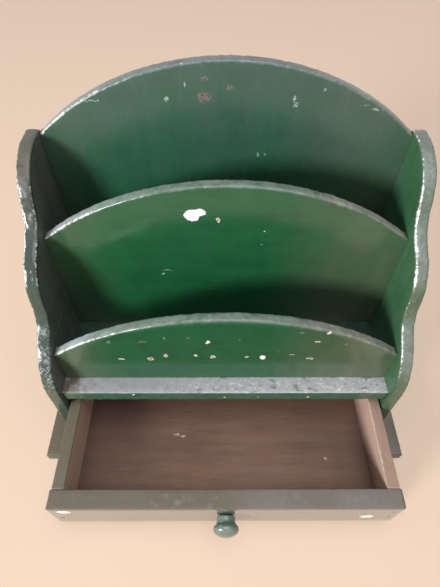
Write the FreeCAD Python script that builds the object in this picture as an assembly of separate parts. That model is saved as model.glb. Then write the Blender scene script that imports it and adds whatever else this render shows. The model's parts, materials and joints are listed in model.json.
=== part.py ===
import FreeCAD, Part
import math
import os

# A painted wooden letter rack: two scrolled sides, three arched boards, a ledge and a loose drawer.
# Millimetres. The origin is the centre of the base board's underside, +Z is up and -Y is the front.

# Boards of the rack
inner_width = 251.0
side_thickness = 9.5
back_thickness = 8.0
middle_thickness = 8.0
front_thickness = 8.0
shelf_thickness = 12.0
base_thickness = 9.5

# Depths, from the back board forward
rear_slot = 41.4
front_slot = 45.0
ledge_depth = 13.2
foot_reach = 3.4
base_front_step = 25.0
base_side_step = 12.5

# Heights: the drawer's bay, then each arch's springing above the shelf and its rise in the middle
bay_height = 44.0
back_spring = 147.5
back_rise = 49.0
middle_spring = 98.5
middle_rise = 45.5
front_spring = 33.2
front_rise = 44.3

# Scroll of the side panels: three lobes joined by two hollows
upper_lobe_radius = 40.0
upper_lobe_crest = 2.5
upper_lobe_ahead = 5.5
middle_lobe_radius = 40.0
middle_lobe_crest = 8.0
middle_lobe_behind = 5.5
lower_lobe_radius = 50.0
lower_lobe_lift = 4.5
upper_hollow_radius = 36.0
lower_hollow_radius = 31.0
rear_corner_radius = 6.0

# Drawer
drawer_height = 37.0
drawer_front_thickness = 13.5
drawer_side_thickness = 9.0
drawer_back_thickness = 9.0
drawer_bottom_thickness = 4.0
drawer_front_gap = 0.5
drawer_side_inset = 1.0
drawer_running_gap = 0.3
drawer_rear_gap = 1.5
drawer_open = 78.0

# Turned knob
knob_foot_radius = 6.9
knob_waist_radius = 6.5
knob_neck_length = 6.0
knob_neck_radius = 7.2
knob_head_radius = 9.5
knob_rim_radius = 7.8
knob_rim_depth = 2.0
knob_projection = 14.5

# Eased arrises
arris = 1.2
drawer_arris = 0.8

# Square cut pins, and the screw that holds the knob
pin_section = 1.6
pin_head = 2.8
pin_head_depth = 1.2
pin_length = 24.0
base_pin_length = 30.0
bottom_pin_length = 15.0
pin_sink = 0.2
screw_radius = 1.5
screw_head_radius = 3.0
screw_head_depth = 2.0
screw_length = 21.0
screw_sink = 0.4
fastener_clearance = 0.05
drill_overrun = 0.5

# How near a place has to be to count as the same
same_place = 0.01

# Places of the fasteners, from the end or edge of the board that they hold
shelf_pin_inset = 20.0
divider_pin_inset = 9.0
back_pin_inset = 22.0
base_pin_inset = 26.0
drawer_pin_inset = 9.0

# Places that follow from the sizes above
inner = inner_width / 2
outer = inner + side_thickness
base_half = outer + base_side_step
base_depth = (back_thickness + rear_slot + middle_thickness + front_slot + front_thickness
              + ledge_depth + foot_reach + base_front_step)
rear_y = base_depth / 2
back_y = rear_y - back_thickness
middle_y = back_y - rear_slot - middle_thickness
front_y = middle_y - front_slot - front_thickness
ledge_y = front_y - ledge_depth
foot_y = ledge_y - foot_reach
bay_top = base_thickness + bay_height
shelf_top = bay_top + shelf_thickness
back_end = shelf_top + back_spring
middle_end = shelf_top + middle_spring
front_end = shelf_top + front_spring

drawer_half = inner - drawer_front_gap
drawer_box_half = drawer_half - drawer_side_inset
drawer_length = back_y - drawer_rear_gap - ledge_y
drawer_foot = base_thickness + drawer_running_gap
drawer_top = drawer_foot + drawer_height
drawer_face_y = ledge_y - drawer_open
drawer_inside_y = drawer_face_y + drawer_front_thickness
drawer_rear_y = drawer_face_y + drawer_length
drawer_floor = drawer_foot + drawer_bottom_thickness
knob_z = drawer_foot + drawer_height / 2

X_AXIS = FreeCAD.Vector(1, 0, 0)
Y_AXIS = FreeCAD.Vector(0, 1, 0)
Z_AXIS = FreeCAD.Vector(0, 0, 1)


def box(x0, x1, y0, y1, z0, z1):
    """Board with its edges along the axes."""
    return Part.makeBox(x1 - x0, y1 - y0, z1 - z0, FreeCAD.Vector(x0, y0, z0))


def edges_through(shape, *planes):
    """Edges that lie in every given plane, each plane being an axis letter and a place on it."""
    found = []
    for edge in shape.Edges:
        bounds = edge.BoundBox
        inside = True
        for axis, place in planes:
            low = getattr(bounds, axis + "Min")
            high = getattr(bounds, axis + "Max")
            inside = inside and abs(low - place) < same_place and abs(high - place) < same_place
        if inside:
            found.append(edge)
    return found


def arched_board(front, thickness, foot, end, rise):
    """Upright board between the sides, with its arched top edge eased."""
    def at(x, z):
        return FreeCAD.Vector(x, front, z)
    arch = Part.Arc(at(inner, end), at(0, end + rise), at(-inner, end)).toShape()
    corners = [at(-inner, end), at(-inner, foot), at(inner, foot), at(inner, end)]
    lines = [Part.makeLine(a, b) for a, b in zip(corners, corners[1:])]
    board = Part.Face(Part.Wire(lines + [arch])).extrude(Y_AXIS * thickness)
    top = [edge for edge in board.Edges if isinstance(edge.Curve, Part.Circle)]
    return board.makeChamfer(min(arris, thickness * 0.4), top)


def hollow_centre(lobe_a, radius_a, lobe_b, radius_b, radius):
    """Centre of the hollow that touches two lobes from the front."""
    reach_a = radius_a + radius
    reach_b = radius_b + radius
    across = lobe_b - lobe_a
    span = across.Length
    along = (reach_a ** 2 - reach_b ** 2 + span ** 2) / (2 * span)
    away = math.sqrt(reach_a ** 2 - along ** 2)
    unit = across * (1 / span)
    ahead = FreeCAD.Vector(0, unit.z, -unit.y)
    return lobe_a + unit * along + ahead * away


def towards(start, end, distance):
    """Point at a distance from start, in the direction of end."""
    return start + (end - start).normalize() * distance


def arc_about(centre, start, end):
    """Shorter arc about a centre from one point to another."""
    radius = (start - centre).Length
    middle = towards(centre, (start + end) * 0.5, radius)
    return Part.Arc(start, middle, end).toShape()


def side_outline(x):
    """Closed outline of a side panel in the plane at x, with its scrolled front edge."""
    def at(y, z):
        return FreeCAD.Vector(x, y, z)
    crest = back_end + upper_lobe_crest
    upper = at(back_y - upper_lobe_ahead, crest - upper_lobe_radius)
    middle = at(middle_y + middle_lobe_behind, middle_end + middle_lobe_crest - middle_lobe_radius)
    lower = at(foot_y + lower_lobe_radius, shelf_top + lower_lobe_lift)
    upper_hollow = hollow_centre(upper, upper_lobe_radius, middle, middle_lobe_radius, upper_hollow_radius)
    lower_hollow = hollow_centre(middle, middle_lobe_radius, lower, lower_lobe_radius, lower_hollow_radius)
    top = upper + Z_AXIS * upper_lobe_radius
    join_a = towards(upper, upper_hollow, upper_lobe_radius)
    join_b = towards(middle, upper_hollow, middle_lobe_radius)
    join_c = towards(middle, lower_hollow, middle_lobe_radius)
    join_d = towards(lower, lower_hollow, lower_lobe_radius)
    foot_front = lower - Y_AXIS * lower_lobe_radius
    corner = at(rear_y - rear_corner_radius, crest - rear_corner_radius)
    corner_top = corner + Z_AXIS * rear_corner_radius
    corner_rear = corner + Y_AXIS * rear_corner_radius
    foot_corner = at(foot_y, base_thickness)
    heel = at(rear_y, base_thickness)
    return Part.Wire([
        Part.makeLine(corner_top, top),
        arc_about(upper, top, join_a),
        arc_about(upper_hollow, join_a, join_b),
        arc_about(middle, join_b, join_c),
        arc_about(lower_hollow, join_c, join_d),
        arc_about(lower, join_d, foot_front),
        Part.makeLine(foot_front, foot_corner),
        Part.makeLine(foot_corner, heel),
        Part.makeLine(heel, corner_rear),
        arc_about(corner, corner_rear, corner_top),
    ])


def side_panel(x):
    """Scrolled side panel from x to x plus its thickness, eased along the scroll."""
    panel = Part.Face(side_outline(x)).extrude(X_AXIS * side_thickness)
    eased = []
    for face_x in (x, x + side_thickness):
        for edge in edges_through(panel, ("X", face_x)):
            on_base = edge.BoundBox.ZMax < base_thickness + same_place
            on_rear = edge.BoundBox.YMin > rear_y - same_place
            if not on_base and not on_rear:
                eased.append(edge)
    return panel.makeChamfer(min(arris, side_thickness * 0.4), eased)


def pin_shape(length, spare=0.0):
    """Square pin along +Z from its face at the origin, or its hole when spare is the clearance."""
    mouth = -drill_overrun if spare else pin_sink
    neck = pin_sink + pin_head_depth + spare
    half_head = pin_head / 2 + spare
    half_shank = pin_section / 2 + spare
    head = box(-half_head, half_head, -half_head, half_head, mouth, neck)
    shank = box(-half_shank, half_shank, -half_shank, half_shank, mouth, length + spare)
    return head.fuse(shank).removeSplitter()


def screw_shape(length, spare=0.0):
    """Countersunk screw along +Z from its face at the origin, or its hole when spare is the clearance."""
    mouth = -drill_overrun if spare else screw_sink
    neck = screw_sink + screw_head_depth + spare
    head = Part.makeCone(screw_head_radius + spare, screw_radius + spare, neck - screw_sink,
                         Z_AXIS * screw_sink)
    shank = Part.makeCylinder(screw_radius + spare, length + spare - neck, Z_AXIS * neck)
    screw = head.fuse(shank)
    if spare:
        screw = screw.fuse(Part.makeCylinder(screw_head_radius + spare, screw_sink - mouth, Z_AXIS * mouth))
    return screw


def driven(shape, point, direction):
    """Fastener moved so that its face is at the point and it runs along the direction."""
    moved = shape.copy()
    moved.Placement = FreeCAD.Placement(point, FreeCAD.Rotation(Z_AXIS, direction))
    return moved


class Fasteners:
    """Like fasteners of one node, with the holes that they take up."""

    def __init__(self, shape, length):
        self.solid = shape(length)
        self.hole = shape(length, fastener_clearance)
        self.solids = []
        self.holes = []

    def drive(self, x, y, z, direction):
        point = FreeCAD.Vector(x, y, z)
        self.solids.append(driven(self.solid, point, direction))
        self.holes.append(driven(self.hole, point, direction))

    def drive_through_sides(self, y, z):
        """One pin through each side panel, from its outer face inwards."""
        self.drive(-outer, y, z, X_AXIS)
        self.drive(outer, y, z, -X_AXIS)


def drilled(board, *groups):
    """Board with a hole for each fastener that reaches it."""
    holes = []
    for group in groups:
        holes += [hole for hole in group.holes if hole.BoundBox.intersect(board.BoundBox)]
    return board.cut(holes)


def shelf_pin_group():
    pins = Fasteners(pin_shape, pin_length)
    for y in (ledge_y + shelf_pin_inset, back_y - shelf_pin_inset):
        pins.drive_through_sides(y, bay_top + shelf_thickness / 2)
    return pins


def divider_pin_group(front, thickness, end):
    pins = Fasteners(pin_shape, pin_length)
    for z in (shelf_top + divider_pin_inset, end - divider_pin_inset):
        pins.drive_through_sides(front + thickness / 2, z)
    return pins


def back_pin_group():
    pins = Fasteners(pin_shape, pin_length)
    low = base_thickness + back_pin_inset
    high = back_end - back_pin_inset
    for z in (low, (low + high) / 2, high):
        pins.drive_through_sides(back_y + back_thickness / 2, z)
    return pins


def base_pin_group():
    """Pins up through the base into the sides and the back board."""
    pins = Fasteners(pin_shape, base_pin_length)
    for x in (-inner - side_thickness / 2, inner + side_thickness / 2):
        for y in (foot_y + base_pin_inset, back_y - base_pin_inset):
            pins.drive(x, y, 0, Z_AXIS)
    for x in (-inner + base_pin_inset, inner - base_pin_inset):
        pins.drive(x, back_y + back_thickness / 2, 0, Z_AXIS)
    return pins


def drawer_side_centres():
    middle = drawer_box_half - drawer_side_thickness / 2
    return (-middle, middle)


def drawer_front_pin_group():
    """Pins through the drawer front into the front ends of its sides."""
    pins = Fasteners(pin_shape, pin_length)
    for x in drawer_side_centres():
        for z in (drawer_floor + drawer_pin_inset, drawer_top - drawer_pin_inset):
            pins.drive(x, drawer_face_y, z, Y_AXIS)
    return pins


def drawer_back_pin_group():
    """Pins through the drawer's sides into the ends of its back."""
    pins = Fasteners(pin_shape, pin_length)
    y = drawer_rear_y - drawer_back_thickness / 2
    for z in (drawer_floor + drawer_pin_inset, drawer_top - drawer_pin_inset):
        pins.drive(-drawer_box_half, y, z, X_AXIS)
        pins.drive(drawer_box_half, y, z, -X_AXIS)
    return pins


def drawer_bottom_pin_group():
    """Short pins up through the drawer's bottom into its sides and back, clear of the pins that cross them."""
    pins = Fasteners(pin_shape, bottom_pin_length)
    front_pin_end = drawer_face_y + pin_length
    back_front = drawer_rear_y - drawer_back_thickness
    for x in drawer_side_centres():
        for y in (front_pin_end + drawer_pin_inset, back_front - drawer_pin_inset):
            pins.drive(x, y, drawer_foot, Z_AXIS)
    for x in (-drawer_box_half / 2, drawer_box_half / 2):
        pins.drive(x, (back_front + drawer_rear_y) / 2, drawer_foot, Z_AXIS)
    return pins


def knob_screw_group():
    """Screw from inside the drawer, through its front into the knob."""
    screw = Fasteners(screw_shape, screw_length)
    screw.drive(0, drawer_inside_y, knob_z, -Y_AXIS)
    return screw


def base_board():
    base = box(-base_half, base_half, -rear_y, rear_y, 0, base_thickness)
    return base.makeChamfer(min(arris, base_thickness * 0.4), edges_through(base, ("Z", base_thickness)))


def letter_shelf():
    """Roof of the drawer's bay, which carries the dividers and stands proud as the ledge."""
    shelf = box(-inner, inner, ledge_y, back_y, bay_top, shelf_top)
    front_edges = edges_through(shelf, ("Y", ledge_y), ("Z", shelf_top))
    front_edges += edges_through(shelf, ("Y", ledge_y), ("Z", bay_top))
    return shelf.makeChamfer(min(arris, shelf_thickness * 0.4), front_edges)


def drawer_front():
    front = box(-drawer_half, drawer_half, drawer_face_y, drawer_inside_y, drawer_foot, drawer_top)
    return front.makeChamfer(min(drawer_arris, drawer_front_thickness * 0.4),
                             edges_through(front, ("Y", drawer_face_y)))


def drawer_side(x):
    """Side of the drawer from x to x plus its thickness, standing on the bottom."""
    side = box(x, x + drawer_side_thickness, drawer_inside_y, drawer_rear_y, drawer_floor, drawer_top)
    top_edges = edges_through(side, ("X", x), ("Z", drawer_top))
    top_edges += edges_through(side, ("X", x + drawer_side_thickness), ("Z", drawer_top))
    return side.makeChamfer(min(drawer_arris, drawer_side_thickness * 0.4), top_edges)


def drawer_knob():
    """Turned knob: a waisted neck that opens into a domed head."""
    def at(radius, ahead):
        return FreeCAD.Vector(radius, drawer_face_y - ahead, knob_z)
    rim = knob_projection - knob_rim_depth
    widest = (knob_neck_length + rim) / 2
    dome_radius = (knob_rim_radius ** 2 + knob_rim_depth ** 2) / (2 * knob_rim_depth)
    dome_centre = at(0, knob_projection - dome_radius)
    profile = Part.Wire([
        Part.makeLine(at(0, 0), at(knob_foot_radius, 0)),
        Part.Arc(at(knob_foot_radius, 0), at(knob_waist_radius, knob_neck_length / 2),
                 at(knob_neck_radius, knob_neck_length)).toShape(),
        Part.Arc(at(knob_neck_radius, knob_neck_length), at(knob_head_radius, widest),
                 at(knob_rim_radius, rim)).toShape(),
        arc_about(dome_centre, at(knob_rim_radius, rim), at(0, knob_projection)),
        Part.makeLine(at(0, knob_projection), at(0, 0)),
    ])
    return Part.Face(profile).revolve(at(0, 0), Y_AXIS, 360)


shelf_pins = shelf_pin_group()
middle_divider_pins = divider_pin_group(middle_y, middle_thickness, middle_end)
front_divider_pins = divider_pin_group(front_y, front_thickness, front_end)
back_board_pins = back_pin_group()
base_pins = base_pin_group()
drawer_front_pins = drawer_front_pin_group()
drawer_back_pins = drawer_back_pin_group()
drawer_bottom_pins = drawer_bottom_pin_group()
knob_screw = knob_screw_group()
through_sides = (shelf_pins, middle_divider_pins, front_divider_pins, back_board_pins, base_pins)
into_drawer_sides = (drawer_front_pins, drawer_back_pins, drawer_bottom_pins)

nodes = {
    "back_board": drilled(arched_board(back_y, back_thickness, base_thickness, back_end, back_rise),
                          back_board_pins, base_pins),
    "middle_divider": drilled(arched_board(middle_y, middle_thickness, shelf_top, middle_end, middle_rise),
                              middle_divider_pins),
    "front_divider": drilled(arched_board(front_y, front_thickness, shelf_top, front_end, front_rise),
                             front_divider_pins),
    "left_side": drilled(side_panel(-outer), *through_sides),
    "right_side": drilled(side_panel(inner), *through_sides),
    "letter_shelf": drilled(letter_shelf(), shelf_pins),
    "base_board": drilled(base_board(), base_pins),
    "drawer_front": drilled(drawer_front(), drawer_front_pins, knob_screw),
    "drawer_left_side": drilled(drawer_side(-drawer_box_half), *into_drawer_sides),
    "drawer_right_side": drilled(drawer_side(drawer_box_half - drawer_side_thickness), *into_drawer_sides),
    "drawer_back": drilled(
        box(-drawer_box_half + drawer_side_thickness, drawer_box_half - drawer_side_thickness,
            drawer_rear_y - drawer_back_thickness, drawer_rear_y, drawer_floor, drawer_top),
        drawer_back_pins, drawer_bottom_pins),
    "drawer_bottom": drilled(
        box(-drawer_box_half, drawer_box_half, drawer_inside_y, drawer_rear_y, drawer_foot, drawer_floor),
        drawer_bottom_pins),
    "drawer_knob": drilled(drawer_knob(), knob_screw),
    "shelf_pins": Part.makeCompound(shelf_pins.solids),
    "middle_divider_pins": Part.makeCompound(middle_divider_pins.solids),
    "front_divider_pins": Part.makeCompound(front_divider_pins.solids),
    "back_board_pins": Part.makeCompound(back_board_pins.solids),
    "base_pins": Part.makeCompound(base_pins.solids),
    "drawer_front_pins": Part.makeCompound(drawer_front_pins.solids),
    "drawer_back_pins": Part.makeCompound(drawer_back_pins.solids),
    "drawer_bottom_pins": Part.makeCompound(drawer_bottom_pins.solids),
    "knob_screw": Part.makeCompound(knob_screw.solids),
}

os.makedirs("parts", exist_ok=True)
for name, shape in nodes.items():
    shape.exportStep("parts/" + name + ".step")
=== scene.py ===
import json
import math

import bmesh
import bpy
from mathutils import Matrix, Vector, noise

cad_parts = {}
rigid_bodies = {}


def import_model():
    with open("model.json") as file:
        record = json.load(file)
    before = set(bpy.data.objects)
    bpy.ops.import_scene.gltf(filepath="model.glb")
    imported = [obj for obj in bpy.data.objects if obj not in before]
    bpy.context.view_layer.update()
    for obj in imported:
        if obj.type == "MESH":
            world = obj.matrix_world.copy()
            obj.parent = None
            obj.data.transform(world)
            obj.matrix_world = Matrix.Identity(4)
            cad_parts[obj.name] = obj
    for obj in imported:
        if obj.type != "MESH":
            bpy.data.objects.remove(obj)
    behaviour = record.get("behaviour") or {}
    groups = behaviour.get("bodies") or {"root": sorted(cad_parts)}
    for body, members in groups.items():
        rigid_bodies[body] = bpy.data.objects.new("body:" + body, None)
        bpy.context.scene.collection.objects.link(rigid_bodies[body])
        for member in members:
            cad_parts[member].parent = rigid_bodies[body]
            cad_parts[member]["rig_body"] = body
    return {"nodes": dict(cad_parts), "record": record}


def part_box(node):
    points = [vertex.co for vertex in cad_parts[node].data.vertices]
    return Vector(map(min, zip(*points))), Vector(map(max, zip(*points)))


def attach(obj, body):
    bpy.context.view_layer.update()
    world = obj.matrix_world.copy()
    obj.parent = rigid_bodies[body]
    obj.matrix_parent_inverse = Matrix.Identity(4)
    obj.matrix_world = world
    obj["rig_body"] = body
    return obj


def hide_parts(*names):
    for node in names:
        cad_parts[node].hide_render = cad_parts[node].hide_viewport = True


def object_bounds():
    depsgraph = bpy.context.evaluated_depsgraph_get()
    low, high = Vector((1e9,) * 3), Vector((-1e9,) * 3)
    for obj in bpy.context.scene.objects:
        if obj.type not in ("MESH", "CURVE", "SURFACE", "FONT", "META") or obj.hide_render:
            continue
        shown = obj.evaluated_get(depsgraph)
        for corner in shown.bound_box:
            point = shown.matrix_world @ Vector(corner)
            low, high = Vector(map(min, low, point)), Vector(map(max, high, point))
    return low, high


bl_info = {
    "name": "Painted Letter Rack",
    "version": (1, 0, 0),
    "blender": (4, 5, 0),
    "location": "3D View > Sidebar > Letter Rack",
    "description": "Dresses the solids of a letter rack in worn green paint and bare wood",
    "category": "Object",
}

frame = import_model()
CAD_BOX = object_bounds()
MM = 0.001

# The axes that a board's outline runs along in each plane, and then the axis of its thickness
PLANE_AXES = {"front": (0, 2, 1), "side": (1, 2, 0), "plan": (0, 1, 2)}

# How the worn boards are meshed: steps along free and butted edges, over an arris and across an edge
FREE_STEP = 1.2 * MM
JOINT_STEP = 8 * MM
ARRIS_STEPS = 4
EDGE_STEPS = 4
FACE_BAND = 5 * MM
WEAR_FADE_PASSES = 3
CORNER_SLOPE = 0.08
CORNER_REACH = 14 * MM

# Size of the beads along an arris, and of the rasp marks along and across an edge
BEAD = 2.6 * MM
RASP_LENGTH = 3.5 * MM
RASP_WIDTH = 3.0 * MM

# How far a board's arrises are rubbed pale, on its low face and on its high face; on the arched boards'
# front arrises the pale line is also a painted highlight
RUBBED = (1.0, 0.4)

# How worn the stretches of a side's scroll are, and the headings from its centres at which that changes.
# The stretches follow where the light from the left glints on the edge, so this wear also places the
# painted highlights on the sides' arrises.
REAR_WEAR = 0.35
CREST_WEAR = 0.7
UPPER_WEAR = 1.0
MIDDLE_WEAR = 0.65
LOWER_WEAR = 0.82
FOOT_WEAR = 0.55
TOE_WEAR = 0.45
UPPER_SPLIT = Vector((-1.0, 0.84))
MIDDLE_SPLIT = Vector((-1.0, 0.47))
HOLLOW_SPLIT = Vector((1.0, -0.58))
LOWER_SPLIT = Vector((-1.0, 0.36))

# How worn the ledge's front is, at its battered left end and along the rest
LEDGE_END_WEAR = 1.9
LEDGE_WEAR = 0.8

# Bristle marks or grain lines per metre along X, Y and Z
ACROSS = Vector((50.0, 500.0, 700.0))
UPWARD = Vector((500.0, 500.0, 50.0))
DABBED = Vector((120.0, 120.0, 30.0))
INWARD = Vector((700.0, 50.0, 700.0))

# Heights between which a film grows: under the rack for an even one, and down to the table for dirt on
# the outside. On the arched boards a haze grows up to a board's top over a depth, partly haze in the paint
# and partly painted reflection of the bright room.
EVEN = (-100 * MM, 0.0)
SOILED = (90 * MM, 0.0)
HAZE_AND_SHEEN_DEPTH = 150 * MM

# Where the finish changes along X: edges silvery at the left and brown at the right, both partly wear and
# partly painted light from the left; the ledge's left end, grime and painted shadow of the left side, and
# its pits; and the olive tone that grows outwards from a clean middle, partly dirt and partly painted shade
SILVERY = (-60 * MM, -118 * MM)
BROWNISH = (25 * MM, 95 * MM)
LEDGE_END_GRIME_AND_SHADE = (-96 * MM, -122 * MM)
PITTED = (-75 * MM, 0.0)
CLEAN_MIDDLE = -26 * MM
GATHERED = (45 * MM, 120 * MM)

# Where the sides' rasp marks lie and fade out, the height above which an edge is dusty and how that fades
RASP_FOOT = 66 * MM
LEFT_RASP_TOP = 124 * MM
RIGHT_RASP_TOP = 300 * MM
RASP_FOOT_FADE = 15 * MM
RASP_TOP_FADE = 12 * MM
RASP_REAR = (60 * MM, 50 * MM)
DUSTY_ABOVE = 185 * MM
DUST_FADE = (-20 * MM, 10 * MM)

# How sharply the dust of the ledge ends
LEDGE_LINE = 2 * MM

# Painted shade in the drawer: the lit middle of its floor, and the reach of the shade there and down from
# the right wall's top
LIT_FLOOR_MIDDLE = Vector((8 * MM, -95 * MM, 0.0))
FLOOR_SHADE_REACH = Vector((125 * MM, 64 * MM, 1.0))
WALL_SHADE_REACH = Vector((1.0, 1.0, 34 * MM))

# Small marks: scuffs per metre and the share of them that shows, how ragged and deep chips are, which kinds
# crumble, the stain over a pin in mm, and how close together the corners of one pin's head lie
SCUFFS_PER_METRE = 62.5
SCUFF_SHARE = 0.16
CHIP_RAGGED = 4 * MM
CHIP_DEPTH = 2 * MM
CRUMBLED = ("earth", "scratch", "dull")
STAIN_SIZE = 1.5
SAME_LEVEL = 0.05 * MM
SAME_HEAD = 5 * MM

# Depth of the brush marks and of the wood's grain
PAINT_RELIEF = 0.07 * MM
GRAIN_RELIEF = 0.2 * MM

# Turned section of the knob: radius and distance ahead of the drawer's front, in mm
KNOB_SECTION = [(6.9, 0.0), (6.8, 2.0), (6.7, 4.4), (7.1, 5.8), (8.6, 6.9), (9.5, 8.7), (9.3, 10.5),
                (7.7, 12.4), (4.2, 14.0), (1.5, 14.5)]
KNOB_SIDES = 32
KNOB_ROUNDING = 2

# The floor reaches far beyond the picture and lies just under the base
FLOOR_HALF = 4.0
FLOOR_DROP = 0.2 * MM

# Long side of the camera's sensor in mm, and the nearest thing that it shows
SENSOR = 36.0
NEAREST = 0.01

# Chipped places in each board's paint: middle across and up, half width and half height, all in mm
BACK_CHIPS = {
    "earth": [(-14.5, 239.5, 4.2, 3.6), (-14.0, 251.0, 2.4, 1.6), (1.5, 245.6, 2.6, 1.8)],
    "scratch": [(-26.5, 247.6, 0.8, 2.0), (-38.0, 238.5, 1.6, 1.6), (41.9, 238.6, 1.0, 2.2),
                (43.5, 234.5, 1.9, 2.2), (60.0, 244.5, 0.9, 1.1), (22.0, 198.0, 0.9, 1.8),
                (27.0, 199.0, 0.7, 1.2), (-84.5, 236.8, 4.6, 0.5), (95.0, 231.6, 3.6, 0.5),
                (88.6, 234.2, 1.8, 0.4)],
}
MIDDLE_CHIPS = {
    "chalk": [(-22.8, 186.2, 5.2, 4.8), (-17.6, 188.8, 4.6, 2.9), (25.0, 172.5, 0.5, 0.6)],
    "ring": [(-5.8, 182.4, 1.2, 1.9)],
    "scratch": [(-43.0, 133.0, 4.2, 0.5), (-46.5, 129.5, 1.0, 1.2), (24.5, 160.3, 0.8, 0.8)],
}
FRONT_CHIPS = {
    "dull": [(-81.3, 117.6, 1.6, 1.6), (9.4, 120.2, 0.9, 1.1), (37.5, 104.0, 1.0, 0.7),
             (51.0, 128.6, 1.9, 1.3), (84.6, 114.8, 1.2, 1.4)],
    "cream": [(-76.5, 94.4, 2.5, 0.9), (-22.2, 99.8, 1.3, 1.4), (15.0, 97.2, 1.4, 0.7),
              (48.0, 100.6, 1.6, 0.6), (63.4, 118.0, 1.8, 1.0), (69.6, 128.6, 1.6, 0.8)],
    "earth": [(-58.0, 117.6, 3.8, 0.8), (-42.7, 122.6, 1.4, 1.2), (-26.5, 122.8, 1.2, 1.1)],
    "ring": [(-55.0, 94.8, 2.6, 1.7), (-44.0, 98.8, 1.9, 1.9), (-9.5, 97.2, 2.3, 2.0),
             (62.0, 95.0, 2.4, 1.3)],
    "chalk": [(-12.8, 117.4, 1.6, 1.8), (27.0, 96.8, 1.9, 2.6)],
}
REAR_CHIPS = {
    "dull": [(-62.0, 196.0, 7.0, 0.7), (71.0, 142.0, 1.4, 6.0), (-24.0, 88.0, 2.0, 1.4),
             (12.0, 171.0, 3.2, 0.6)],
    "scratch": [(-58.0, 192.5, 3.0, 0.5), (84.0, 62.0, 4.5, 0.5)],
    "earth": [(38.0, 221.0, 2.2, 1.6), (103.0, 18.0, 2.4, 1.3)],
    "cream": [(-106.0, 31.0, 1.5, 1.1)],
}
LEFT_CHIPS = {"scratch": [(-9.7, 103.1, 11.0, 0.5)]}
LEFT_OUTER_CHIPS = {
    "scratch": [(8.0, 74.0, 6.0, 0.5), (31.0, 112.0, 0.6, 3.2)],
    "dull": [(3.0, 71.0, 2.6, 0.7), (49.0, 151.0, 1.0, 4.0)],
    "earth": [(-41.0, 26.0, 1.6, 1.2)],
    "cream": [(66.0, 14.5, 1.4, 1.0)],
}
RIGHT_OUTER_CHIPS = {
    "dull": [(-8.0, 96.0, 4.4, 0.6), (55.0, 31.0, 2.2, 1.2)],
    "scratch": [(38.0, 58.0, 0.5, 4.4), (21.0, 133.0, 3.0, 0.5)],
    "cream": [(-44.5, 14.0, 1.3, 1.5)],
    "earth": [(61.0, 176.0, 1.4, 2.0)],
}
LEDGE_CHIPS = {
    "chalk": [(-71.3, 62.5, 0.9, 0.8)],
    "cream": [(-0.6, 58.2, 0.8, 0.7), (25.7, 58.0, 0.9, 0.6), (64.2, 58.4, 1.3, 0.6)],
}
DRAWER_MARKS = {"pale_wood": [(-40.5, -60.2, 2.8, 0.8), (-35.5, -62.0, 2.6, 0.8), (81.5, -80.0, 1.4, 1.0)]}
DRAWER_CHIPS = {"chalk": [(-114.6, 39.6, 5.0, 4.0), (103.0, 24.0, 5.0, 4.0)]}


def number(label, note, value, **more):
    return bpy.props.FloatProperty(name=label, description=note, default=value, **more)


def length(label, note, millimetres):
    return number(label, note, millimetres * MM, unit="LENGTH")


def share(label, note, value):
    return number(label, note, value, min=0, max=1, subtype="FACTOR")


def angle(label, note, degrees):
    return number(label, note, math.radians(degrees), subtype="ANGLE")


def colour(label, note, *rgb):
    return bpy.props.FloatVectorProperty(name=label, description=note, default=rgb, subtype="COLOR",
                                         size=3, min=0, max=1)


def position(label, note, *xyz):
    return bpy.props.FloatVectorProperty(name=label, description=note, default=xyz, subtype="TRANSLATION",
                                         unit="LENGTH")


class LetterRackShape(bpy.types.PropertyGroup):
    """Curves of the boards that the solids' boxes don't give."""

    back_rise: length("Back rise", "Height of the back board's arch above its ends", 49.0)
    middle_rise: length("Middle rise", "Height of the middle divider's arch above its ends", 45.5)
    front_rise: length("Front rise", "Height of the front divider's arch above its ends", 44.3)
    upper_lobe_radius: length("Upper lobe", "Radius of the sides' upper lobe", 40.0)
    upper_lobe_ahead: length("Upper lobe ahead", "How far its centre lies ahead of the back board", 5.5)
    middle_lobe_radius: length("Middle lobe", "Radius of the sides' middle lobe", 40.0)
    middle_lobe_crest: length("Middle lobe crest", "Height of its top above the middle divider's ends", 8.0)
    middle_lobe_behind: length("Middle lobe behind", "How far its centre is behind the divider's face", 5.5)
    lower_lobe_radius: length("Lower lobe", "Radius of the sides' lower lobe", 50.0)
    lower_lobe_lift: length("Lower lobe lift", "Height of its centre above the shelf", 4.5)
    upper_hollow_radius: length("Upper hollow", "Radius of the hollow between the upper two lobes", 36.0)
    lower_hollow_radius: length("Lower hollow", "Radius of the hollow between the lower two lobes", 31.0)
    rear_corner_radius: length("Rear corner", "Radius of the sides' upper rear corner", 6.0)
    worn_arris: length("Worn arris", "Rounding of the edges that hands reach", 1.6)
    side_arris: length("Side arris", "Rounding of the scrolled sides' edges", 2.8)
    arch_arris: length("Arch arris", "Rounding of the arched boards' top edges", 2.3)
    joint_arris: length("Joint arris", "Rounding where one board butts against another", 0.3)
    rasp_depth: length("Rasp depth", "Depth of the tool marks on the free edges", 0.5)
    ledge_corner: length("Ledge corner", "Length of the ledge's battered left end", 16.0)


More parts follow.
